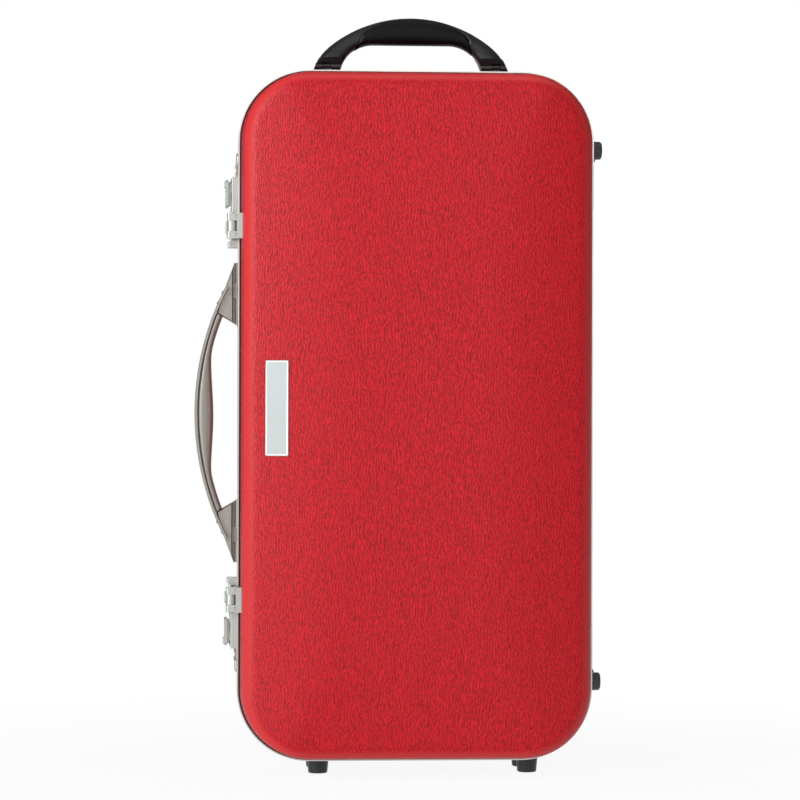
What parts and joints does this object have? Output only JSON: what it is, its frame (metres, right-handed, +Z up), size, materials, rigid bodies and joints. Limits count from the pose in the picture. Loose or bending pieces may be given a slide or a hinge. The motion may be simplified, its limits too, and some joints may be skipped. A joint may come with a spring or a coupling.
{
  "type": "bassoon case",
  "caption": "Upright red leather bassoon case with a hinged lid, two sprung latches, a fitted tray, a metal side handle, a padded top handle and strap loops.",
  "frame": {"origin": "floor point under the middle of the case's outer box, with the case standing on its bottom feet", "axes": "+Z up along the case's length, -Y out of the lid towards the viewer, +X towards the hinge side"},
  "size_m": [0.3942, 0.151, 0.7327],
  "materials": {
    "moulded_core": "matte",
    "red_leather": "satin",
    "valance_metal": "satin",
    "lining": "matte",
    "bright_nickel": "gloss",
    "satin_nickel": "satin",
    "plain_steel": "satin",
    "black_lacquer": "satin",
    "black_rubber": "matte",
    "black_leather": "satin",
    "black_moulding": "satin",
    "badge_metal": "satin"
  },
  "bodies": {
    "base": {"base_shell": "moulded_core", "base_leather": "red_leather", "base_valance": "valance_metal", "base_tray": "lining", "base_hinge_leaves": "plain_steel", "base_hinge_rivets": "plain_steel", "hinge_pins": "plain_steel", "upper_latch_housing": "bright_nickel", "lower_latch_housing": "bright_nickel", "upper_latch_spring": "plain_steel", "lower_latch_spring": "plain_steel", "latch_housing_rivets": "bright_nickel", "upper_strap_plate": "bright_nickel", "lower_strap_plate": "bright_nickel", "strap_plate_rivets": "bright_nickel", "side_handle_upper_mount": "satin_nickel", "side_handle_lower_mount": "satin_nickel", "top_handle_left_mount": "black_lacquer", "top_handle_right_mount": "black_lacquer", "top_mount_screws": "black_lacquer", "bottom_feet": "black_rubber", "bottom_foot_screws": "plain_steel", "side_feet": "black_rubber", "side_foot_screws": "plain_steel"},
    "lid": {"lid_shell": "moulded_core", "lid_leather": "red_leather", "lid_valance": "valance_metal", "lid_pad": "lining", "lid_hinge_leaves": "plain_steel", "lid_hinge_rivets": "plain_steel", "badge_plate": "badge_metal", "upper_latch_bracket": "bright_nickel", "lower_latch_bracket": "bright_nickel", "hasp_pins": "bright_nickel", "latch_bracket_rivets": "bright_nickel"},
    "upper_hasp_body": {"upper_hasp": "bright_nickel"},
    "lower_hasp_body": {"lower_hasp": "bright_nickel"},
    "upper_slide_body": {"upper_latch_slide": "bright_nickel"},
    "lower_slide_body": {"lower_latch_slide": "bright_nickel"},
    "upper_loop_body": {"upper_strap_loop": "bright_nickel"},
    "lower_loop_body": {"lower_strap_loop": "bright_nickel"},
    "side_handle": {"side_handle_upper_end": "satin_nickel", "side_handle_lower_end": "satin_nickel", "side_handle_pins": "plain_steel", "side_handle_band": "satin_nickel", "side_handle_grip": "satin_nickel", "side_handle_rivets": "satin_nickel"},
    "top_handle": {"top_handle_grip": "black_leather", "top_handle_left_end": "black_moulding", "top_handle_right_end": "black_moulding", "top_handle_pins": "black_lacquer"}
  },
  "joints": [
    {"name": "lid_hinge", "type": "hinge", "parent": "base", "child": "lid", "pos_m": [0.1845, -0.02015, 0.3455], "axis": [0, 0, 1], "range_deg": [0, 100]},
    {"name": "upper_hasp_hinge", "type": "hinge", "parent": "lid", "child": "upper_hasp_body", "pos_m": [-0.1624, -0.03415, 0.5258], "axis": [0, 0, 1], "range_deg": [0, 100]},
    {"name": "lower_hasp_hinge", "type": "hinge", "parent": "lid", "child": "lower_hasp_body", "pos_m": [-0.1624, -0.03415, 0.1698], "axis": [0, 0, 1], "range_deg": [0, 100]},
    {"name": "upper_bolt_slide", "type": "slide", "parent": "base", "child": "upper_slide_body", "axis": [0, 0, 1], "range_m": [0, 0.0065], "stiffness_N_per_m": 200, "deforming": ["upper_latch_spring"]},
    {"name": "lower_bolt_slide", "type": "slide", "parent": "base", "child": "lower_slide_body", "axis": [0, 0, -1], "range_m": [0, 0.0065], "stiffness_N_per_m": 200, "deforming": ["lower_latch_spring"]},
    {"name": "upper_strap_loop_pivot", "type": "hinge", "parent": "base", "child": "upper_loop_body", "pos_m": [-0.1559, 0.02585, 0.5871], "axis": [0, -1, 0], "range_deg": [0, 150]},
    {"name": "lower_strap_loop_pivot", "type": "hinge", "parent": "base", "child": "lower_loop_body", "pos_m": [-0.1559, 0.02585, 0.1085], "axis": [0, 1, 0], "range_deg": [0, 150]},
    {"name": "side_handle_pivot", "type": "hinge", "parent": "base", "child": "side_handle", "pos_m": [-0.16, 0.00785, 0.3478], "axis": [0, 0, 1], "range_deg": [-60, 60]},
    {"name": "top_handle_pivot", "type": "hinge", "parent": "base", "child": "top_handle", "pos_m": [0.0121, 0.01985, 0.6855], "axis": [1, 0, 0], "range_deg": [-65, 65]}
  ]
}
